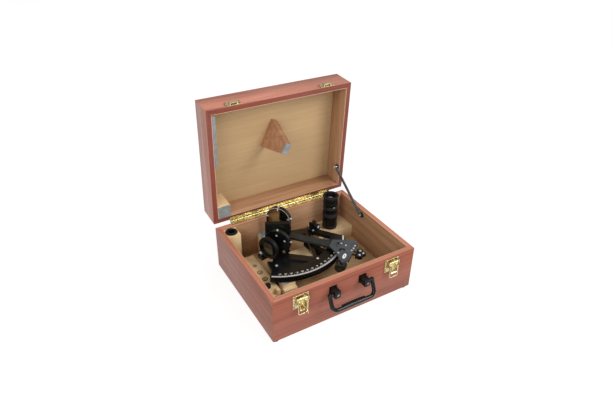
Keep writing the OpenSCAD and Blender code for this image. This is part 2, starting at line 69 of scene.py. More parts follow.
# the lid's hinge, the angle that it stands open by, and the way its rim looks when it does
HINGE = Vector(joints["lid_hinge"]["pos_m"])
LID_OPEN = math.radians(-joints["lid_hinge"]["range_deg"][0])
LID_RIM_WAY = (0, -math.sin(LID_OPEN), -math.cos(LID_OPEN))

# half the inside of the case across and from front to back, and the outer face of its front
IN_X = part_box("base_bottom_panel")[1][0]
IN_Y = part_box("base_bottom_panel")[1][1]
FRONT_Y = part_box("base_front_board")[0][1]


# ---------- colours and shader nodes ----------

def rgb(r, g, b):
    """An sRGB colour, 0 to 255, as the linear RGBA that shaders take."""
    def linear(c):
        c /= 255
        return c / 12.92 if c <= 0.04045 else ((c + 0.055) / 1.055) ** 2.4
    return (linear(r), linear(g), linear(b), 1.0)


class Shader:
    """A material with a Principled shader, and short calls that add the nodes in front of it."""

    def __init__(self, name, roughness=0.5, metallic=0.0, coat=0.0, specular=0.5):
        self.material = bpy.data.materials.new(name)
        self.material.use_nodes = True
        self.tree = self.material.node_tree
        self.bsdf = self.tree.nodes["Principled BSDF"]
        self.set("Roughness", roughness)
        self.set("Metallic", metallic)
        self.set("Coat Weight", coat)
        self.set("Specular IOR Level", specular)
        self.coords = self.add("ShaderNodeTexCoord")

    def add(self, kind, **settings):
        node = self.tree.nodes.new(kind)
        for key, value in settings.items():
            setattr(node, key, value)
        return node

    def link(self, a, b):
        self.tree.links.new(a, b)

    def set(self, socket, value):
        self.bsdf.inputs[socket].default_value = value

    def scaled(self, scale):
        """Object coordinates, stretched by scale."""
        mapping = self.add("ShaderNodeMapping")
        mapping.inputs["Scale"].default_value = scale
        self.link(self.coords.outputs["Object"], mapping.inputs["Vector"])
        return mapping.outputs["Vector"]

    def noise(self, scale, detail, roughness=0.55, distortion=0.0):
        """Noise in object coordinates, with scale as its grains per metre along each axis."""
        node = self.add("ShaderNodeTexNoise")
        node.inputs["Scale"].default_value = 1.0
        node.inputs["Detail"].default_value = detail
        node.inputs["Roughness"].default_value = roughness
        node.inputs["Distortion"].default_value = distortion
        self.link(self.scaled(scale), node.inputs["Vector"])
        return node.outputs["Fac"]

    def ramp(self, value, low, high, to_low=0.0, to_high=1.0):
        """The value, with low to high drawn out to to_low to to_high and cut off there."""
        node = self.add("ShaderNodeMapRange")
        node.inputs["From Min"].default_value = low
        node.inputs["From Max"].default_value = high
        node.inputs["To Min"].default_value = to_low
        node.inputs["To Max"].default_value = to_high
        self.link(value, node.inputs["Value"])
        return node.outputs["Result"]

    def feed(self, source, socket):
        """Link a socket to another one, or set it to a plain value."""
        if isinstance(source, bpy.types.NodeSocket):
            self.link(source, socket)
        else:
            socket.default_value = source

    def mix(self, factor, a, b):
        """A colour between a and b; each may be a colour or a socket."""
        node = self.add("ShaderNodeMix", data_type="RGBA")
        factor_in, a_in, b_in, colour_out = 0, 6, 7, 2
        self.feed(factor, node.inputs[factor_in])
        self.feed(a, node.inputs[a_in])
        self.feed(b, node.inputs[b_in])
        return node.outputs[colour_out]

    def math(self, operation, a, b=0.0):
        node = self.add("ShaderNodeMath", operation=operation)
        self.feed(a, node.inputs[0])
        self.feed(b, node.inputs[1])
        return node.outputs[0]

    def axis_distance(self, point, direction):
        """The distance of the shaded point from a line through point along direction."""
        away = self.add("ShaderNodeVectorMath", operation="SUBTRACT")
        away.inputs[1].default_value = point
        self.link(self.coords.outputs["Object"], away.inputs[0])
        turned = self.add("ShaderNodeVectorMath", operation="CROSS_PRODUCT")
        turned.inputs[1].default_value = Vector(direction).normalized()
        self.link(away.outputs["Vector"], turned.inputs[0])
        size = self.add("ShaderNodeVectorMath", operation="LENGTH")
        self.link(turned.outputs["Vector"], size.inputs[0])
        return size.outputs["Value"]

    def rim_distance(self, lid):
        """How far the shaded point is outside the case's inner faces, with the lid's points turned shut."""
        point = self.coords.outputs["Object"]
        if lid:
            shift = self.add("ShaderNodeVectorMath", operation="SUBTRACT")
            shift.inputs[1].default_value = HINGE
            self.link(point, shift.inputs[0])
            turn = self.add("ShaderNodeVectorRotate", rotation_type="X_AXIS")
            turn.inputs["Angle"].default_value = LID_OPEN
            self.link(shift.outputs["Vector"], turn.inputs["Vector"])
            back = self.add("ShaderNodeVectorMath", operation="ADD")
            back.inputs[1].default_value = HINGE
            self.link(turn.outputs["Vector"], back.inputs[0])
            point = back.outputs["Vector"]
        axes = self.add("ShaderNodeSeparateXYZ")
        self.link(point, axes.inputs[0])
        x = self.math("SUBTRACT", self.math("ABSOLUTE", axes.outputs["X"]), IN_X)
        y = self.math("SUBTRACT", self.math("ABSOLUTE", axes.outputs["Y"]), IN_Y)
        return self.math("MAXIMUM", x, y)

    def facing(self, direction):
        """1 where the surface faces along direction, as the node stands at rest, and 0 elsewhere."""
        node = self.add("ShaderNodeVectorMath", operation="DOT_PRODUCT")
        node.inputs[1].default_value = direction
        self.link(self.coords.outputs["Normal"], node.inputs[0])
        return self.ramp(node.outputs["Value"], 0.5, 0.7)

    def bump(self, height, strength, distance):
        node = self.add("ShaderNodeBump")
        node.inputs["Strength"].default_value = strength
        node.inputs["Distance"].default_value = distance
        self.link(height, node.inputs["Height"])
        self.link(node.outputs["Normal"], self.bsdf.inputs["Normal"])

    def colour(self, value):
        self.link(value, self.bsdf.inputs["Base Color"])

    def rough(self, value):
        self.link(value, self.bsdf.inputs["Roughness"])


def along(axis, lengthwise, across):
    """A texture scale that is lengthwise along one axis and across along the other two."""
    return tuple(lengthwise if i == axis else across for i in range(3))


def even(scale):
    """The same texture scale along all three axes."""
    return (scale, scale, scale)


def darker(colour, share):
    """A colour with a share of its light."""
    return [c * share for c in colour[:3]] + [1.0]


def wood(name, light, dark, grain, inner=None, inward=None, rim=None, rim_way=None, lid=False, figure=0.5,
         pores=0.5, roughness=0.5):
    """Open-grained wood. inner is the tones of the faces that look inward, rim those of the cut edge."""
    s = Shader(name, roughness, specular=0.3)
    streaks = s.noise(along(grain, 9, 420), 6, 0.6, 0.4)
    broad = s.noise(along(grain, 3, 60), 3, 0.5, 1.2)
    fleck = s.noise(along(grain, 120, 2600), 2, 0.6)
    fine_share = 0.55
    tone = s.math("MULTIPLY", s.ramp(streaks, 0.3, 0.7), fine_share)
    tone = s.math("ADD", tone, s.math("MULTIPLY", s.ramp(broad, 0.3, 0.7), 1 - fine_share))
    spread = 0.25 / figure
    tone = s.ramp(tone, 0.5 - spread, 0.5 + spread)
    colour = s.mix(tone, dark, light)
    if inner:
        colour = s.mix(s.facing(inward), colour, s.mix(tone, inner[1], inner[0]))
    if rim:
        edge = s.mix(tone, rim[1], rim[0])
        line = s.ramp(s.rim_distance(lid), 0.9 * MM, 1.3 * MM, 1, 0)
        edge = s.mix(s.math("MULTIPLY", line, 0.8), edge, EDGE_LINE)
        colour = s.mix(s.facing(rim_way), colour, edge)
    pore = s.ramp(fleck, 0.6, 0.72)
    colour = s.mix(s.math("MULTIPLY", pore, pores), colour, darker(dark, 0.45))
    s.colour(colour)
    s.rough(s.ramp(streaks, 0.2, 0.8, roughness + 0.08, roughness - 0.08))
    s.bump(s.math("SUBTRACT", streaks, pore), 0.2, 0.0002)
    return s.material


def metal(name, light, dark, roughness, speck=300, metallic=1.0, wear=0.1, dent=0.15):
    """Bare or plated metal with faint blotches and handling marks."""
    s = Shader(name, roughness, metallic)
    blotch = s.noise(even(speck), 5, 0.6)
    fine = s.noise(even(speck * 9), 2, 0.5)
    s.colour(s.mix(s.ramp(blotch, 0.35, 0.7), light, dark))
    s.rough(s.ramp(blotch, 0.3, 0.75, roughness - wear, roughness + wear))
    s.bump(fine, dent, 0.0001)
    return s.material


def enamel(name, colour, worn, roughness, coat=0.0, specular=0.25):
    """Enamel with a fine orange peel and slightly rubbed patches."""
    s = Shader(name, roughness, 0.0, coat, specular)
    s.set("Coat Roughness", 0.2)
    patch = s.noise(even(40), 4, 0.6)
    peel = s.noise(even(2600), 2, 0.5)
    s.colour(s.mix(s.ramp(patch, 0.5, 0.75), colour, worn))
    s.rough(s.ramp(patch, 0.3, 0.7, roughness - 0.06, roughness + 0.08))
    s.bump(peel, 0.12, 0.0001)
    return s.material


def felt(name, light, dark):
    """Matted fibres with a soft sheen."""
    s = Shader(name, 0.95, specular=0.1)
    s.set("Sheen Weight", 0.3)
    s.set("Sheen Roughness", 0.6)
    fibres = s.noise(even(1800), 5, 0.8, 1.5)
    cloud = s.noise(even(90), 3, 0.6)
    s.colour(s.mix(s.ramp(s.math("MULTIPLY", fibres, cloud), 0.15, 0.4), dark, light))
    s.bump(fibres, 0.9, 0.0006)
    return s.material


def rubber(name, colour):
    """Dull rubber or knurled black with a fine grit."""
    s = Shader(name, 0.75, specular=0.3)
    grit = s.noise(even(1500), 3, 0.6)
    s.colour(s.mix(s.ramp(grit, 0.4, 0.7), colour, rgb(52, 52, 52)))
    s.bump(grit, 0.4, 0.0002)
    return s.material


def mirror_glass(name):
    """Silvered glass, tinted light brown as a painted reflection of the case's wood, with a faint random
    cloud.
    """
    s = Shader(name, 0.03, 1.0)
    tint_cloud = s.noise(even(60), 4, 0.6)
    # the light brown colour is a painted reflection of the wood round the mirrors
    s.colour(s.mix(s.ramp(tint_cloud, 0.4, 0.75), rgb(176, 168, 148), rgb(158, 148, 126)))
    s.rough(s.ramp(tint_cloud, 0.4, 0.8, 0.1, 0.16))
    return s.material


def shade_cell(name, centre, normal, glass_r, tint):
    """A black ring with a round glass, which is within glass_r of the line through centre along normal."""
    s = Shader(name, 0.4, specular=0.3)
    glass = s.ramp(s.axis_distance(centre, normal), glass_r - 0.2 * MM, glass_r, 1, 0)
    cloud = s.ramp(s.noise(even(45), 3, 0.5), 0.3, 0.7)
    wear = s.ramp(s.noise(even(300), 4, 0.6), 0.5, 0.8)
    ring = s.mix(wear, rgb(12, 12, 12), rgb(24, 24, 24))
    s.colour(s.mix(glass, ring, s.mix(cloud, tint, darker(tint, 0.6))))
    s.rough(s.ramp(glass, 0, 1, 0.42, 0.06))
    s.link(glass, s.bsdf.inputs["Coat Weight"])
    return s.material


def lens(name, colour):
    """Coated glass, clouded between a colour and half of it."""
    s = Shader(name, 0.04, 0.0, 1.0, 0.6)
    s.set("Coat Roughness", 0.02)
    cloud = s.noise(even(70), 3, 0.5)
    s.colour(s.mix(s.ramp(cloud, 0.3, 0.7), colour, darker(colour, 0.5)))
    return s.material


# outer wood, inner wood and cut edge, each as its light and dark tone, and the pale line inside the cut edge
# the outer boards and the rims are one wood with painted light and shade: each face is lighter or darker for
# the way it is turned to the lamps, so the lid's front board, which faces up when open, and the base's rim
# are painted lighter, and the base's boards and the lid's rim darker
BASE_FRONT_WOOD_PAINTED_LIGHT = (rgb(163, 95, 73), rgb(132, 71, 54))
BASE_SIDE_WOOD_PAINTED_LIGHT = (rgb(156, 104, 88), rgb(126, 76, 62))
LID_FRONT_WOOD_PAINTED_LIGHT = (rgb(210, 144, 122), rgb(182, 112, 92))
LID_SIDE_WOOD_PAINTED_LIGHT = (rgb(178, 134, 122), rgb(152, 106, 95))
INNER_WOOD = (rgb(192, 150, 114), rgb(158, 116, 84))
BASE_RIM_PAINTED_LIGHT = (rgb(206, 142, 114), rgb(178, 108, 84))
LID_RIM_PAINTED_LIGHT = (rgb(140, 76, 60), rgb(112, 52, 40))
EDGE_LINE = rgb(226, 176, 148)


def board(name, grain, outward, lid=False):
    """The material of one board of the case or, as it stands open, of the lid. outward points out of it. Its
    outer and rim tones carry painted light and shade for the way the face is turned.
    """
    if grain == X_AXIS:
        light, dark = LID_FRONT_WOOD_PAINTED_LIGHT if lid else BASE_FRONT_WOOD_PAINTED_LIGHT
    else:
        light, dark = LID_SIDE_WOOD_PAINTED_LIGHT if lid else BASE_SIDE_WOOD_PAINTED_LIGHT
    inward = tuple(-c for c in outward)
    rim, rim_way = (LID_RIM_PAINTED_LIGHT, LID_RIM_WAY) if lid else (BASE_RIM_PAINTED_LIGHT, UP)
    return wood(name, light, dark, grain, INNER_WOOD, inward, rim, rim_way, lid, figure=0.7)


materials = {
    "base_front_board": board("wood_front", X_AXIS, FRONT),
    "base_back_board": board("wood_back", X_AXIS, BACK),
    "base_left_board": board("wood_left", Y_AXIS, LEFT),
    "base_right_board": board("wood_right", Y_AXIS, RIGHT),
    "lid_front_board": board("wood_lid_front", X_AXIS, UP, True),
    "lid_back_board": board("wood_lid_back", X_AXIS, DOWN, True),
    "lid_left_board": board("wood_lid_left", Z_AXIS, LEFT, True),
    "lid_right_board": board("wood_lid_right", Z_AXIS, RIGHT, True),
}

PLY = (rgb(198, 168, 126), rgb(176, 144, 104))
PALE = (rgb(238, 212, 168), rgb(220, 188, 140))
BROWN = (rgb(190, 142, 106), rgb(152, 106, 76))
ply = wood("panel_ply", *PLY, X_AXIS, figure=0.4, pores=0.15, roughness=0.6)
pale = wood("pale_wood", *PALE, Z_AXIS, pores=0.15, roughness=0.62)
pale_long = wood("pale_wood_long", *PALE, Y_AXIS, pores=0.15, roughness=0.62)
brown_block = wood("brown_block", *BROWN, X_AXIS, figure=0.8, roughness=0.55)
grey_felt = felt("grey_felt", rgb(150, 154, 152), rgb(112, 116, 116))
foot_rubber = rubber("foot_rubber", rgb(28, 28, 28))
latch_brass = metal("latch_brass", rgb(216, 204, 160), rgb(186, 168, 118), 0.3)
hinge_brass = metal("hinge_brass", rgb(200, 188, 144), rgb(120, 104, 66), 0.3, speck=260, wear=0.12)
screw_brass = metal("screw_brass", rgb(200, 172, 100), rgb(140, 108, 56), 0.3)
steel_screw = metal("steel_screw", rgb(236, 238, 238), rgb(206, 210, 212), 0.34, metallic=0.45)
dark_chrome = metal("dark_chrome", rgb(150, 150, 149), rgb(92, 92, 93), 0.17, speck=60, wear=0.04,
                    dent=0.03)
gloss_black = enamel("gloss_black", rgb(4, 5, 5), rgb(8, 9, 9), 0.16, 0.2, 0.25)
bracket_black = enamel("bracket_black", rgb(9, 11, 12), rgb(19, 21, 23), 0.34, 0.1)
black = enamel("black_enamel", rgb(10, 10, 10), rgb(18, 18, 18), 0.32, 0.15, 0.35)
tube_black = enamel("tube_black", rgb(10, 10, 10), rgb(17, 17, 17), 0.34, 0.1)
arm_enamel = enamel("arm_enamel", rgb(44, 46, 44), rgb(58, 60, 57), 0.42)
plate_enamel = enamel("plate_enamel", rgb(72, 75, 78), rgb(90, 93, 95), 0.48)
drum_metal = metal("drum_metal", rgb(116, 120, 118), rgb(78, 82, 80), 0.38, speck=220)
silver = metal("silvered_arc", rgb(228, 230, 228), rgb(204, 206, 204), 0.42, speck=120, metallic=0.4,
               dent=0.05)
white_fill = enamel("white_fill", rgb(238, 238, 234), rgb(216, 216, 210), 0.5)
knurl_black = rubber("knurl_black", rgb(16, 16, 16))
dark_fill = enamel("dark_fill", rgb(20, 20, 20), rgb(34, 34, 34), 0.6)
mirror = mirror_glass("mirror_silver")
# the pale bluish grey of the eyepiece glasses is a painted glint, the light that the lenses catch
eye_lens_painted_glint = lens("eye_lens_painted_glint", rgb(150, 156, 168))

for name in ("base_bottom_panel", "lid_panel"):
    materials[name] = ply
for name in ("eyepiece_block", "rest_blocks", "telescope_block", "lid_corner_block"):
    materials[name] = pale
materials["accessory_block"] = pale_long
materials["hold_down_block"] = brown_block
for name in ("rest_felts", "lid_felts"):
    materials[name] = grey_felt
materials["rubber_feet"] = foot_rubber
for name in ("latch_plates", "lid_catches", "latch_lever_left", "latch_lever_right", "latch_loop_left",
             "latch_loop_right", "latch_key"):
    materials[name] = latch_brass
for name in ("hinge_lower_leaf", "hinge_upper_leaf", "hinge_pin"):
    materials[name] = hinge_brass
materials["base_screws"] = screw_brass
for name in ("stay_arm", "stay_stud", "stay_bracket"):
    materials[name] = dark_chrome
materials["handle_brackets"] = bracket_black
materials["carry_handle"] = gloss_black
for name in ("sextant_frame", "frame_legs", "grip_handle", "horizon_mirror_mount", "telescope_bracket",
             "shade_brackets", "index_mirror_frame", "release_levers", "adjusting_key"):
    materials[name] = black
for name in ("telescope_tube", "telescope_eyepiece", "spare_eyepiece"):
    materials[name] = tube_black
materials["index_arm"] = arm_enamel
materials["micrometer_housing"] = plate_enamel
materials["micrometer_drum"] = drum_metal
materials["arc_scale"] = silver
for name in ("index_mirror", "horizon_mirror"):
    materials[name] = mirror


# ---------- places on the sextant ----------

PIVOT = Vector(joints["index_arm_swing"]["pos_m"])
FRAME_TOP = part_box("sextant_frame")[1][2]
ARM_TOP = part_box("index_arm")[1][2]
PLATE_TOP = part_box("micrometer_housing")[1][2]
DRUM_AT = Vector(joints["drum_spin"]["pos_m"])
DRUM_OUT = -Vector(joints["drum_spin"]["axis"]).normalized()
ARM_WAY = Vector((-DRUM_OUT.y, DRUM_OUT.x, 0)).normalized()
ARM_LEFT = Vector((-ARM_WAY.y, ARM_WAY.x, 0))
INDEX_WAY = Vector(joints["index_shade_1_swing"]["axis"]).normalized()
INDEX_SIDE = Vector((-INDEX_WAY.y, INDEX_WAY.x, 0))
HORIZON_WAY = -Vector(joints["horizon_shade_1_swing"]["axis"]).normalized()
HORIZON_SIDE = Vector((-HORIZON_WAY.y, HORIZON_WAY.x, 0))

# the direction of the arc's zero, and the radius that its scale is laid out from
ZERO_DEG = -48
ARC_R = 136 * MM

# each stack of shades: the way that it faces, the step from its pin to the glass centre, the glass radius
STACKS = {"index": (INDEX_WAY, INDEX_SIDE * 14.5 * MM + Vector(UP) * 18 * MM, 18 * MM),
          "horizon": (HORIZON_WAY, HORIZON_SIDE * 16.5 * MM + Vector(UP) * 17 * MM, 16 * MM)}


def heading(degrees):
    """The level unit vector at an angle from the x axis."""
    a = math.radians(degrees)
    return Vector((math.cos(a), math.sin(a), 0))


def upright(side, degrees):
    """The unit vector that is turned up from a level one."""
    a = math.radians(degrees)
    return side * math.cos(a) + Vector(UP) * math.sin(a)


def on_arm(out, left, z):
    """A point out along the index arm and to its left, both in millimetres, at height z in metres."""
    return Vector((PIVOT.x, PIVOT.y, z)) + ARM_WAY * out * MM + ARM_LEFT * left * MM


def on_frame(radius, degrees, z):
    """A point at a radius from the pivot and an angle from the x axis."""
    return Vector((PIVOT.x, PIVOT.y, z)) + heading(degrees) * radius


def glass_centre(shade):
    """The middle of the glass of a shade such as index_shade_1."""
    stack = shade.split("_")[0]
    return Vector(joints[shade + "_swing"]["pos_m"]) + STACKS[stack][1]


def opened(x, y, z):
    """Where a point of the shut lid is with the lid open, in metres from millimetres."""
    dy = y * MM - HINGE.y
    dz = z * MM - HINGE.z
    c, s = math.cos(LID_OPEN), math.sin(LID_OPEN)
    return Vector((x * MM, HINGE.y + dy * c + dz * s, HINGE.z - dy * s + dz * c))


def opened_way(x, y, z):
    """Where a direction of the shut lid points with the lid open."""
    return (opened(x, y, z) - opened(0, 0, 0)).normalized()


tints = {"1": rgb(24, 26, 28), "2": rgb(40, 22, 16), "3": rgb(24, 34, 22), "4": rgb(26, 34, 24)}
for name in nodes:
    if "_shade_" in name:
        stack, number = name.split("_shade_")
        way, _, glass_r = STACKS[stack]
        materials[name] = shade_cell(name + "_cell", glass_centre(name), way, glass_r, tints[number])

for name, node in nodes.items():
    node.data.materials.clear()
    node.data.materials.append(materials[name])
    for polygon in node.data.polygons:
        polygon.material_index = 0


def soften(name, width):
    """Small rounded edges on a CAD node, by modifiers that leave its own mesh alone."""
    node = nodes[name]
    for polygon in node.data.polygons:
        polygon.use_smooth = True
    weld = node.modifiers.new("weld", "WELD")
    weld.merge_threshold = 1e-6
    bevel = node.modifiers.new("bevel", "BEVEL")
    bevel.width = width
    bevel.segments = 2
    bevel.limit_method = "ANGLE"
    bevel.angle_limit = math.radians(35)
    bevel.use_clamp_overlap = True
    bevel.harden_normals = True


for name in nodes:
    if name.endswith(("_board", "_block")) or name in ("rest_blocks", "lid_felts", "rest_felts"):
        soften(name, 0.8 * MM)
for name in ("latch_plates", "handle_brackets", "lid_catches", "index_arm", "telescope_bracket"):
    soften(name, 0.3 * MM)


# ---------- outlines and places ----------

def metres(points):
    """Points in millimetres as metres."""
    return [(x * MM, y * MM) for x, y in points]


def rectangle(x0, x1, y0, y1):
    """The outline of a rectangle, in metres from millimetres."""
    return metres([(x0, y0), (x1, y0), (x1, y1), (x0, y1)])


def turns(count):
    """The angles of even steps round a circle."""
    return [2 * math.pi * i / count for i in range(count)]


def ellipse(a, b):
    """The outline of an ellipse with half axes a and b, in metres from millimetres."""
    return metres([(a * math.cos(t), b * math.sin(t)) for t in turns(28)])


def arc_points(r, start, step, count):
    """Points on a circle about the origin, from an angle on in even steps, in the unit of r."""
    return [(r * math.cos(start + step * i), r * math.sin(start + step * i)) for i in range(count)]


def middle_of(name):
    """The centre of a node's box, seen from above."""
    low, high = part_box(name)
    return (low[0] + high[0]) / 2, (low[1] + high[1]) / 2


def place(at, normal, right=None):
    """The matrix that puts local z along normal at a point, with local x near right."""
    z = Vector(normal).normalized()
    if right is None:
        right = RIGHT if abs(z.x) < 0.9 else BACK
    x = Vector(right)
    x = (x - z * x.dot(z)).normalized()
    m = Matrix((x, z.cross(x), z)).transposed().to_4x4()
    m.translation = Vector(at)
    return m


# ---------- building pieces ----------

class Piece:
    """A mesh put together from turned, flat and screw shapes, then hung on a CAD body."""

    def __init__(self, name, material, body, slot, smooth=35):
        self.name, self.material, self.body, self.slot, self.smooth = name, material, body, slot, smooth
        self.bm = bmesh.new()

    def lathe(self, profile, matrix, segments=32, closed=False):
        """The solid that a profile of (radius, height) sweeps about local z."""
        rings = []
        for r, z in profile:
            angles = turns(segments) if r > 0 else [0]
            points = [Vector((r * math.cos(a), r * math.sin(a), z)) for a in angles]
            rings.append([self.bm.verts.new(matrix @ point) for point in points])
        for a, b in zip(rings, rings[1:] + (rings[:1] if closed else [])):
            for i in range(segments):
                j = (i + 1) % segments
                quad = [a[i % len(a)], a[j % len(a)], b[j % len(b)], b[i % len(b)]]
                corners = list(dict.fromkeys(quad))
                if len(corners) > 2:
                    self.bm.faces.new(corners)

    def ring(self, at, normal, r0, r1, h0, h1, edge=0.2 * MM):
        """A flat ring between two radii, with every edge eased but the lower inner one."""
        profile = [(r0, h0), (r1 - edge, h0), (r1, h0 + edge), (r1, h1 - edge), (r1 - edge, h1),
                   (r0 + edge, h1), (r0, h1 - edge)]
        self.lathe(profile, place(at, normal), 40, closed=True)

    def disc(self, at, normal, r, h0, h1):
        edge = 0.2 * MM
        self.lathe([(0, h0), (r, h0), (r, h1 - edge), (r - edge, h1), (0, h1)], place(at, normal), 28)

    def prism(self, outline, z0, z1, matrix):
        """A flat outline of (x, y) pulled from z0 to z1."""
        low = [self.bm.verts.new(matrix @ Vector((x, y, z0))) for x, y in outline]
        high = [self.bm.verts.new(matrix @ Vector((x, y, z1))) for x, y in outline]
        self.bm.faces.new(list(reversed(low)))
        self.bm.faces.new(high)
        for i in range(len(outline)):
            j = (i + 1) % len(outline)
            self.bm.faces.new((low[i], low[j], high[j], high[i]))

    def bar(self, a, b, width, h0, h1, matrix):
        """A straight stroke from a to b, flat on the local plane."""
        d = Vector((b[0] - a[0], b[1] - a[1]))
        n = Vector((-d.y, d.x)).normalized() * width / 2
        self.prism([(a[0] + n.x, a[1] + n.y), (a[0] - n.x, a[1] - n.y), (b[0] - n.x, b[1] - n.y),
                    (b[0] + n.x, b[1] + n.y)], h0, h1, matrix)

    def screw(self, at, normal, r, h, turn=0.6):
        """A slotted screw head: a low disc with two half discs beside the slot."""
        m = place(at, normal) @ Matrix.Rotation(turn, 4, "Z")
        under, slot_floor = -0.1 * h, 0.35 * h
        self.lathe([(0, under), (r, under), (r, slot_floor), (0, slot_floor)], m, 20)
        slot_angle, steps = 0.22, 8
        step = (math.pi - 2 * slot_angle) / steps
        half = arc_points(r * 0.98, slot_angle, step, steps + 1)
        for way in (0, math.pi):
            self.prism(half, slot_floor, h, m @ Matrix.Rotation(way, 4, "Z"))

    def ribs(self, at, radius, count, rib, height):
        """Upright ribs in a circle about a point; x of the rib's outline is outwards."""
        for a in turns(count):
            out = Vector((math.cos(a), math.sin(a), 0))
            self.prism(rib, 0, height, place(Vector(at) + out * radius, UP, out))

    def done(self):
        bmesh.ops.recalc_face_normals(self.bm, faces=self.bm.faces)
        mesh = bpy.data.meshes.new(self.name)
        self.bm.to_mesh(mesh)
        self.bm.free()
        obj = bpy.data.objects.new(self.name, mesh)
        bpy.context.scene.collection.objects.link(obj)
        mesh.materials.append(self.material)
        for polygon in mesh.polygons:
            polygon.use_smooth = True
        mesh.set_sharp_from_angle(angle=math.radians(self.smooth))
        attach(obj, self.body)


# ---------- case fittings ----------

def latch_pieces():
    """Curled lips on the latch levers, the screws of the lid catches and the bezel round the key."""
    lever_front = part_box("latch_lever_right")[0][1]
    lip = metres([(0, 0), (1.2, -0.4), (2.6, 0.6), (2.9, 1.8), (2.2, 2.0), (1.6, 1.2), (0.2, 1.4)])
    lip_half = 6.6 * MM
    catch_x = 12.6
    catch_y = FRONT_Y / MM - 1.4
    for side in ("left", "right"):
        x = middle_of("latch_lever_" + side)[0]
        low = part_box("latch_lever_" + side)[0][2]
        grip = Piece("lever_lip_" + side, latch_brass, "lever_" + side, "brass")
        grip.prism(lip, -lip_half, lip_half, place((x, lever_front + 3.2 * MM, low), RIGHT, FRONT))
        grip.done()
        catch = Piece("catch_screws_" + side, screw_brass, "lid", "brass")
        for dx in (-catch_x, catch_x):
            for z in (105.5, 115.5):
                at = opened(x / MM + dx, catch_y, z)
                catch.screw(at, opened_way(*FRONT), 1.5 * MM, 0.6 * MM, 0.4 + dx)
        catch.done()
    key = joints["latch_key_turn"]["pos_m"]
    key_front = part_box("latch_lever_left")[0][1] + 0.3 * MM
    lock = Piece("lock_bezel", screw_brass, "lever_left", "brass")
    lock.ring((key[0], key_front, key[2]), FRONT, 2.2 * MM, 3.9 * MM, 0, 0.9 * MM)
    lock.done()


def handle_pieces():
    """The ribbed grip of the carrying handle, and the bolts and wall plates of its brackets."""
    height = joints["carry_handle"]["pos_m"][2]
    grip = Piece("handle_grip", gloss_black, "handle", "handle_black")
    centre = (0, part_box("carry_handle")[0][1] + 5.9 * MM, height - 28.1 * MM)
    half, steps, grooves = 24, 48, 9
    profile = [(0, -half)]
    for i in range(steps + 1):
        t = i / steps
        r = 4.7 + 0.6 * math.sin(math.pi * t) + 0.3 * math.cos(2 * math.pi * grooves * t)
        profile.append((r, half * (2 * t - 1)))
    profile.append((0, half))
    grip.lathe(metres(profile), place(centre, RIGHT), 24)
    grip.done()

    bolts = Piece("bracket_bolts", gloss_black, "case_base", "handle_black")
    heads = Piece("bracket_screws", dark_chrome, "case_base", "handle_black")
    bracket_x = 32.5 * MM
    bracket_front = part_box("handle_brackets")[0][1]
    wall_plate = rectangle(-8, 8, -9, 9)
    for s in (-1, 1):
        at = (s * bracket_x, bracket_front, height)
        bolts.ring(at, FRONT, 2.6 * MM, 4.4 * MM, SUNK, 1.0 * MM)
        heads.screw(at, FRONT, 2.5 * MM, 0.8 * MM, 0.9 * s)
        bolts.prism(wall_plate, 0.05 * MM, 1.6 * MM, place((s * bracket_x, FRONT_Y, height), FRONT))
    bolts.done()
    heads.done()


def stay_pieces():
    """The rivets at both ends of the lid stay, and the screws of its bracket on the lid."""
    _, top_y, top_z = joints["stay_swing"]["pos_m"]
    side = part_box("stay_arm")[0][0]
    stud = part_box("stay_stud")[0]
    stud_r = 6 * MM
    rivets = Piece("stay_rivets", steel_screw, "stay", "dark_chrome")
    rivets.ring((side, top_y, top_z), LEFT, 2.3 * MM, 4 * MM, -0.2 * MM, 0.5 * MM)
    rivets.disc((side, stud[1] + stud_r, stud[2] + stud_r), LEFT, 2.4 * MM, -0.2 * MM, 0.9 * MM)
    rivets.done()
    cap = Piece("stay_cap", steel_screw, "lid", "dark_chrome")
    cap_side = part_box("stay_bracket")[0][0] + 0.1 * MM
    cap.screw((cap_side, top_y, top_z), LEFT, 2.6 * MM, 0.7 * MM)
    for s in (-1, 1):
        cap.disc(opened(143.2, 73 + 4.2 * s, 110), LEFT, 0.9 * MM, -0.4 * MM, 0.25 * MM)
    cap.done()


def socket_pieces():
    """Rims round the sockets in the accessory and eyepiece blocks."""
    rims = Piece("socket_rims", dark_fill, "case_base", "pale_wood")
    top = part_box("accessory_block")[1][2]
    socket_x = -113 * MM
    for y, r in ((10, 4.5), (-12, 4.5), (34, 3.0)):
        rims.ring((socket_x, y * MM, top), UP, r * MM, (r + 1.0) * MM, SUNK, 0.35 * MM, 0.1 * MM)
    rims.done()
    cup = Piece("eyepiece_socket_rim", brown_block, "case_base", "pale_wood")
    middle = (*middle_of("spare_eyepiece"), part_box("eyepiece_block")[1][2])
    cup.ring(middle, UP, 10.5 * MM, 12.2 * MM, SUNK, 0.3 * MM, 0.1 * MM)
    cup.done()


def foot_pieces():
    """A washer round the top of each rubber foot."""
    feet = Piece("foot_washers", steel_screw, "case_base", "rubber")
    low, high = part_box("rubber_feet")
    foot_r = 7 * MM
    for x in (low[0] + foot_r, high[0] - foot_r):
        for y in (low[1] + foot_r, high[1] - foot_r):
            feet.ring((x, y, high[2]), DOWN, foot_r + 0.05 * MM, 8.2 * MM, 0, 0.7 * MM)
    feet.done()


# ---------- telescope, spare eyepiece and tool ----------

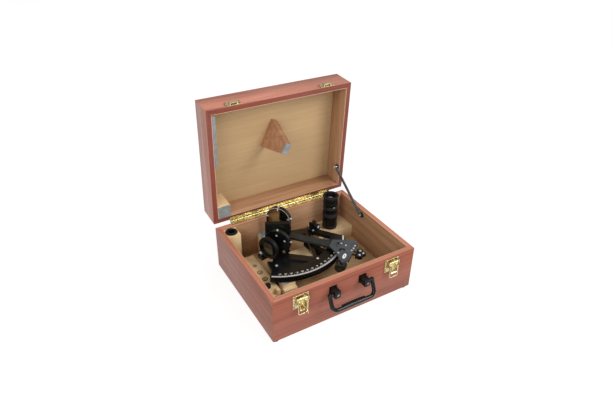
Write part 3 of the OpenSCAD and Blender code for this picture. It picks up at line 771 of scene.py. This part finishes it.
def telescope_pieces():
    """Grip bands and a trim ring on the tube, then the eye cup and the glass that slide with the eyepiece."""
    at = (*middle_of("telescope_eyepiece"), 0)
    axis = place(at, UP)
    bands = Piece("telescope_bands", knurl_black, "telescope", "tube_black")
    core_r, groove = 15.5, 0.35
    for z0, z1, r in ((70, 79, 16.5), (44, 47, 16.5), (89.5, 94.5, 16.1)):
        profile = [(core_r, z0)]
        count = int(z1 - z0) * 2
        for i in range(count + 1):
            profile.append((r if i % 2 else r - groove, z0 + (z1 - z0) * i / count))
        profile.append((core_r, z1))
        bands.lathe(metres(profile), axis, 48, closed=True)
    bands.done()
    shine = Piece("telescope_ring", dark_chrome, "telescope", "tube_black")
    shine.ring(at, UP, 14.0 * MM, 15.75 * MM, 95.7 * MM, 96.3 * MM)
    shine.done()

    cup = Piece("eye_cup", knurl_black, "telescope_focus", "tube_black")
    cup.lathe(metres([(10.2, 112), (14.4, 112), (15.2, 114), (17.2, 118.5), (17.6, 120), (16.6, 120.8),
                      (12.4, 119.6), (10.2, 117)]), axis, 48, closed=True)
    rib = metres([(-0.3, -0.5), (0.5, -0.4), (0.5, 0.4), (-0.3, 0.5)])
    cup.ribs((at[0], at[1], 99.5 * MM), 15.3 * MM, 36, rib, 9 * MM)
    cup.done()
    glass = Piece("eye_glass", eye_lens_painted_glint, "telescope_focus", "tube_black", 80)
    glass.lathe(metres([(0, 106), (9.8, 106), (9.8, 111.4), (7, 112.9), (3.5, 113.8), (0, 114.1)]), axis, 40)
    glass.done()


def spare_eyepiece_pieces():
    """Knurling, an eye ring and a glass on the spare eyepiece."""
    x, y = middle_of("spare_eyepiece")
    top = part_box("spare_eyepiece")[1][2]
    spare = Piece("spare_knurl", knurl_black, "eyepiece", "tube_black")
    rib = metres([(-0.3, -0.45), (0.45, -0.3), (0.45, 0.3), (-0.3, 0.45)])
    spare.ribs((x, y, top - 1.7 * MM), 11.7 * MM, 30, rib, 1.6 * MM)
    eye_ring = metres([(7.1, 0), (8.6, 0), (8.3, 0.6), (7.3, 0.6)])
    spare.lathe(eye_ring, place((x, y, top), UP), 36, closed=True)
    spare.done()
    glass = Piece("spare_glass", eye_lens_painted_glint, "eyepiece", "tube_black", 80)
    glass.lathe(metres([(0, 84), (6.9, 84), (6.9, 86), (4, 87), (0, 87.4)]), place((x, y, 0), UP), 32)
    glass.done()


def tool_pieces():
    """Knurling and a cap on the adjusting tool's knob."""
    x, y = middle_of("adjusting_key")
    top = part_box("adjusting_key")[1][2]
    knurl = Piece("key_knurl", knurl_black, "tool", "knob_black")
    rib = metres([(-0.2, -0.4), (0.4, -0.3), (0.4, 0.3), (-0.2, 0.4)])
    knurl.ribs((x, y, 51.4 * MM), 4.95 * MM, 20, rib, 5 * MM)
    knurl.disc((x, y, top), UP, 3.4 * MM, SUNK, 0.5 * MM)
    knurl.done()


# ---------- the sextant's own details ----------

# strokes of a digit on a cell one wide and two high
STROKES = {"top": ((0, 2), (1, 2)), "middle": ((0, 1), (1, 1)), "bottom": ((0, 0), (1, 0)),
           "left_high": ((0, 1), (0, 2)), "left_low": ((0, 0), (0, 1)), "right_high": ((1, 1), (1, 2)),
           "right_low": ((1, 0), (1, 1))}
DIGITS = {"0": "top bottom left_high left_low right_high right_low", "1": "right_high right_low",
          "2": "top right_high middle left_low bottom", "3": "top middle bottom right_high right_low",
          "4": "left_high middle right_high right_low", "5": "top left_high middle right_low bottom",
          "6": "top left_high left_low middle right_low bottom", "7": "top right_high right_low",
          "8": "top middle bottom left_high left_low right_high right_low",
          "9": "top middle bottom left_high right_high right_low"}


def numeral(piece, number, matrix, size):
    """A whole number in plain strokes, centred on the local origin."""
    text = str(number)
    pitch = 1.7 * size
    x0 = -pitch * (len(text) - 1) / 2 - size / 2
    for i, digit in enumerate(text):
        for stroke in DIGITS[digit].split():
            a, b = ((x0 + i * pitch + x * size, (y - 1) * size) for x, y in STROKES[stroke])
            piece.bar(a, b, 0.42 * MM, 0, 0.14 * MM, matrix)


def scale_pieces():
    """Fine divisions on the silvered arc, and longer marks and numerals on the frame inside it."""
    marks = Piece("arc_numerals", white_fill, "sextant", "scale_silver")
    ticks = Piece("arc_ticks", dark_fill, "sextant", "scale_silver")
    silver_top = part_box("arc_scale")[1][2]
    tick_r = ARC_R - 4.4 * MM
    first, last = -10, 144
    for degree in range(first, last + 1):
        angle = ZERO_DEG - degree / 2
        out = heading(angle)
        length = (3.0 if degree % 10 == 0 else 2.2 if degree % 5 == 0 else 1.4) * MM
        on_silver = place(on_frame(0, 0, silver_top), UP, out)
        ticks.bar((tick_r, 0), (tick_r + length, 0), 0.16 * MM, 0, 0.05 * MM, on_silver)
        on_black = place(on_frame(0, 0, FRAME_TOP), UP, out)
        if degree % 5 == 0:
            marks.bar((ARC_R - 6.9 * MM, 0), (ARC_R - 5.1 * MM, 0), 0.5 * MM, 0, 0.12 * MM, on_black)
        if degree % 10 == 0 and degree >= 0:
            at = on_frame(ARC_R - 10 * MM, angle, FRAME_TOP)
            numeral(marks, degree, place(at, UP, Vector((-out.y, out.x, 0))), 1.25 * MM)
    marks.done()
    ticks.done()


def frame_screw_pieces():
    """Screws on the frame's face, on the back of the horizon mirror's mount and round its rim."""
    screws = Piece("frame_screws", steel_screw, "sextant", "scale_silver")
    spots = [on_frame(117 * MM, -42, FRAME_TOP)]
    for x, y in ((31.5, 62), (-5, -29), (-86, -9), (-66, 66), (-96, 35), (-72, 50)):
        spots.append(Vector((x * MM, y * MM, FRAME_TOP)))
    for at in spots:
        screws.screw(at, UP, 2.6 * MM, 0.45 * MM, at.x * 90)

    back = heading(ZERO_DEG + 90)
    side = Vector((-back.y, back.x, 0))
    middle = Vector((-58 * MM, 30 * MM, 93.5 * MM)) + side * 3 * MM
    mount_face = middle - back * 9.5 * MM
    for degrees in (30, 90, 150):
        at = mount_face + upright(side, degrees) * 19 * MM
        screws.screw(at, -back, 1.9 * MM, 0.8 * MM, math.radians(degrees))
    rim = middle - back * 4 * MM
    for degrees in (12, 168, 90):
        way = upright(side, degrees)
        screws.disc(rim + way * 27.3 * MM, way, 1.7 * MM, -0.2 * MM, 2.4 * MM)
    screws.done()


def shade_pin_pieces():
    """Slotted heads on the pins that the two stacks of shades swing on."""
    pins = Piece("shade_pin_heads", steel_screw, "sextant", "scale_silver")
    past_shade = 2.9 * MM
    index_end = Vector(joints["index_shade_4_swing"]["pos_m"]) + INDEX_WAY * past_shade
    pins.screw(index_end, INDEX_WAY, 3.2 * MM, 1.2 * MM, 0.4)
    horizon_end = Vector(joints["horizon_shade_3_swing"]["pos_m"]) + HORIZON_WAY * past_shade
    pins.screw(horizon_end, HORIZON_WAY, 3.4 * MM, 1.2 * MM, 1.2)
    pins.done()


def index_mirror_pieces():
    """Clips on the arched index mirror, a pale strip round the arch that is a painted highlight of its lit
    edge, and the screws of its foot.
    """
    clips = Piece("mirror_clips", steel_screw, "arm", "scale_silver")
    arch = on_arm(-2.5, 0, ARM_TOP) + Vector(UP) * 34 * MM
    back = arch + ARM_LEFT * 3 * MM
    face = arch - ARM_LEFT * 1.5 * MM
    tongue = rectangle(-3.6, 1.3, -1.3, 1.3)
    for degrees in (8, 90, 172):
        way = upright(ARM_WAY, degrees)
        clips.disc(back + way * 25.3 * MM, way, 2.0 * MM, -0.2 * MM, 2.6 * MM)
        clips.disc(back + way * 27.9 * MM, way, 1.2 * MM, -0.2 * MM, 1.6 * MM)
        clips.prism(tongue, 0.02 * MM, 0.6 * MM, place(face + way * 23.6 * MM, -ARM_LEFT, way))
    # a pale strip round the front of the arch: a painted highlight where its edge catches the light
    on_face = place(arch, -ARM_LEFT, ARM_WAY)
    steps = 24
    points = arc_points(25.2 * MM, 0, math.pi / steps, steps + 1)
    for a, b in zip(points, points[1:]):
        clips.bar(a, b, 0.8 * MM, 1.45 * MM, 1.9 * MM, on_face)
    clips.done()
    foot = Piece("mirror_foot_screws", steel_screw, "arm", "scale_silver")
    for out, turn in ((-14.4, -20), (10.8, 15)):
        foot.screw(on_arm(out, -5.5, ARM_TOP), UP, 2.2 * MM, 1.1 * MM, turn)
    foot.screw(on_arm(0, -14, ARM_TOP), UP, 2.4 * MM, 1.0 * MM)
    foot.done()


def telescope_bracket_pieces():
    """Screws on the foot of the telescope's rising piece, and a cap on its knob."""
    knob = Piece("bracket_knob_cap", steel_screw, "sextant", "scale_silver")
    corner = Vector((36 * MM, 60 * MM, FRAME_TOP))
    turn = Matrix.Rotation(math.radians(21), 4, "Z")
    for x in (-6.5, 10.5):
        at = corner + turn @ Vector((x * MM, -7.5 * MM, 4.6 * MM))
        knob.screw(at, UP, 1.9 * MM, 0.9 * MM, x)
    knob_end = corner + turn @ Vector((2 * MM, -14 * MM, 12 * MM))
    knob.screw(knob_end, turn @ Vector(FRONT), 2.8 * MM, 0.9 * MM)
    knob.done()


def plate_pieces():
    """Screws, a plain oval badge, a dark curved mark that is painted shade for the plate's slot, and the
    index line beside it.
    """
    plate = Piece("plate_screws", steel_screw, "arm", "scale_silver")
    for out, left in ((133, 4), (143.5, 1), (161, 6), (160.5, -3), (158.5, -11), (136, -27)):
        plate.screw(on_arm(out, left, PLATE_TOP), UP, 1.9 * MM, 0.8 * MM, out)
    plate.done()
    badge_at = place(on_arm(150, -33, PLATE_TOP), UP, ARM_LEFT)
    badge = Piece("plate_badge", white_fill, "arm", "plate_grey")
    badge.prism(ellipse(8.2, 3.4), SUNK, 0.25 * MM, badge_at)
    badge.done()
    lines = Piece("plate_print_and_slot_shade", dark_fill, "arm", "plate_grey")
    lines.prism(ellipse(3.28, 0.68), 0.2 * MM, 0.32 * MM, badge_at)
    # a dark curved mark: painted shade standing in for the dark inside of the plate's slot
    slot_at = place(on_arm(141, -17, PLATE_TOP), UP, ARM_LEFT)
    slot = arc_points(5 * MM, -1.2, 0.35, 11)
    for a, b in zip(slot, slot[1:]):
        lines.bar(a, b, 3.8 * MM, SUNK, 0.3 * MM, slot_at)
    lines.done()
    index = Piece("index_line", silver, "arm", "scale_silver")
    index_at = place(on_arm(126, 0, ARM_TOP), UP, ARM_WAY)
    index.bar((-2.2 * MM, 0), (3.2 * MM, 0), 0.5 * MM, 0, 0.3 * MM, index_at)
    index.done()


def on_drum(along_axis, angle, radius):
    """The matrix of a strip on the drum: local x along its axis, local z outwards. Lengths are in mm."""
    centre = DRUM_AT + DRUM_OUT * along_axis * MM
    out = place(centre, DRUM_OUT).to_3x3() @ Vector((math.cos(angle), math.sin(angle), 0))
    return place(centre + out * radius * MM, out, DRUM_OUT)


def drum_pieces():
    """The white collar of the micrometer drum with its 60 lines, and the knurling of its knob."""
    collar = Piece("drum_collar", white_fill, "drum", "drum_metal")
    collar.ring(DRUM_AT + DRUM_OUT * 27.6 * MM, DRUM_OUT, 8.3 * MM, 9.2 * MM, 0, 4.2 * MM, 0.3 * MM)
    collar.done()
    lines = Piece("drum_lines", dark_fill, "drum", "drum_metal")
    for i, a in enumerate(turns(60)):
        length = (3.4 if i % 5 == 0 else 2.0) * MM
        lines.bar((0, 0), (length, 0), 0.2 * MM, 0, 0.12 * MM, on_drum(27.8, a, 9.15))
    lines.done()
    knurl = Piece("drum_knurl", drum_metal, "drum", "drum_metal")
    ridge = rectangle(0, 13, -0.5, 0.5)
    for a in turns(32):
        knurl.prism(ridge, 0, 0.6 * MM, on_drum(39.5, a, 10.3))
    knurl.ring(DRUM_AT + DRUM_OUT * 54 * MM, DRUM_OUT, 3 * MM, 8.6 * MM, SUNK, 0.7 * MM)
    knurl.done()


def release_pieces():
    """A screw and a raised rim on each finger pad of the release levers."""
    pads = ((173, 3.5, 72.5, 6.5), (175, -10, 72.5, 6.5), (180, 0, 71, 5.5))
    screws = Piece("release_screws", steel_screw, "release", "scale_silver")
    for out, left, top, _ in pads:
        screws.screw(on_arm(out, left, top * MM), UP, 2.2 * MM, 0.8 * MM, left)
    screws.done()
    rims = Piece("release_rims", knurl_black, "release", "knob_black")
    for out, left, top, r in pads:
        rims.ring(on_arm(out, left, top * MM), UP, (r - 1.6) * MM, (r - 0.2) * MM, SUNK, 0.5 * MM)
    rims.done()


def shade_pieces():
    """A raised ring on the front of each stack's last shade, and a flat one on the back of its first."""
    to_face = 1.0 * MM
    for stack, number, letter, r, height in (("index", 4, "d", 19.6, 0.45), ("horizon", 3, "c", 17.5, 4.5)):
        way, _, glass_r = STACKS[stack]
        face = glass_centre(f"{stack}_shade_{number}") + way * to_face
        cell = Piece(stack + "_cell", black, f"{stack}_shade_{letter}", "shade_black")
        cell.ring(face, way, glass_r, r * MM, SUNK, height * MM)
        cell.done()
    for stack, r in (("index", 19.4), ("horizon", 17.4)):
        way, _, glass_r = STACKS[stack]
        face = glass_centre(stack + "_shade_1") - way * to_face
        retainer = Piece(stack + "_shade_1_retainer", black, stack + "_shade_a", "shade_black")
        retainer.ring(face, -way, glass_r, r * MM, SUNK, 0.4 * MM)
        retainer.done()


latch_pieces()
handle_pieces()
stay_pieces()
socket_pieces()
foot_pieces()
telescope_pieces()
spare_eyepiece_pieces()
tool_pieces()
scale_pieces()
frame_screw_pieces()
shade_pin_pieces()
index_mirror_pieces()
telescope_bracket_pieces()
plate_pieces()
drum_pieces()
release_pieces()
shade_pieces()


# ---------- stage ----------

# where the camera stands and looks, in metres and degrees, and its lens in millimetres
CAMERA_AT = (-0.44336, -0.70706, 0.71505)
CAMERA_WAY = (0.43457, 0.72049, -0.54042)
CAMERA_ROLL = 1.01
CAMERA_LENS = 30.7
SENSOR_WIDTH = 36.0
LIT_POINT = (0, 0, 0.1)


def make_floor():
    """A white sheet just under the feet, with a glow of its own that keeps it near white."""
    bm = bmesh.new()
    bmesh.ops.create_grid(bm, x_segments=1, y_segments=1, size=6.0)
    mesh = bpy.data.meshes.new("floor")
    bm.to_mesh(mesh)
    bm.free()
    floor = bpy.data.objects.new("floor", mesh)
    floor.location.z = cad_box[0][2] - 0.2 * MM
    bpy.context.scene.collection.objects.link(floor)
    s = Shader("floor_paper", 0.95, specular=0.0)
    s.colour(s.mix(s.ramp(s.noise(even(3), 2), 0.3, 0.7), rgb(170, 170, 170), rgb(166, 166, 167)))
    s.set("Emission Color", (1, 1, 1, 1))
    s.set("Emission Strength", 0.75)
    floor.data.materials.append(s.material)


def make_light(name, at, size, power):
    data = bpy.data.lights.new(name, "AREA")
    data.size = size
    data.energy = power
    light = bpy.data.objects.new(name, data)
    light.location = at
    light.rotation_euler = (Vector(LIT_POINT) - Vector(at)).to_track_quat("-Z", "Y").to_euler()
    bpy.context.scene.collection.objects.link(light)


def make_camera():
    data = bpy.data.cameras.new("camera")
    data.sensor_width = SENSOR_WIDTH
    data.lens = CAMERA_LENS
    camera = bpy.data.objects.new("camera", data)
    forward = Vector(CAMERA_WAY).normalized()
    level_right = forward.cross(Vector(UP)).normalized()
    level_up = level_right.cross(forward)
    roll = math.radians(CAMERA_ROLL)
    right = math.cos(roll) * level_right + math.sin(roll) * level_up
    up = -math.sin(roll) * level_right + math.cos(roll) * level_up
    m = Matrix((right, up, -forward)).transposed().to_4x4()
    m.translation = Vector(CAMERA_AT)
    camera.matrix_world = m
    bpy.context.scene.collection.objects.link(camera)
    bpy.context.scene.camera = camera


def make_world():
    world = bpy.data.worlds.new("studio")
    world.use_nodes = True
    background = world.node_tree.nodes["Background"]
    background.inputs["Color"].default_value = (1.0, 1.0, 1.0, 1.0)
    background.inputs["Strength"].default_value = 0.6
    bpy.context.scene.world = world
    bpy.context.scene.view_settings.view_transform = "Standard"


make_floor()
make_world()
make_camera()
make_light("key", (0.9, -1.3, 1.5), 0.8, 21)
make_light("fill", (-1.3, -0.9, 1.1), 0.9, 10)
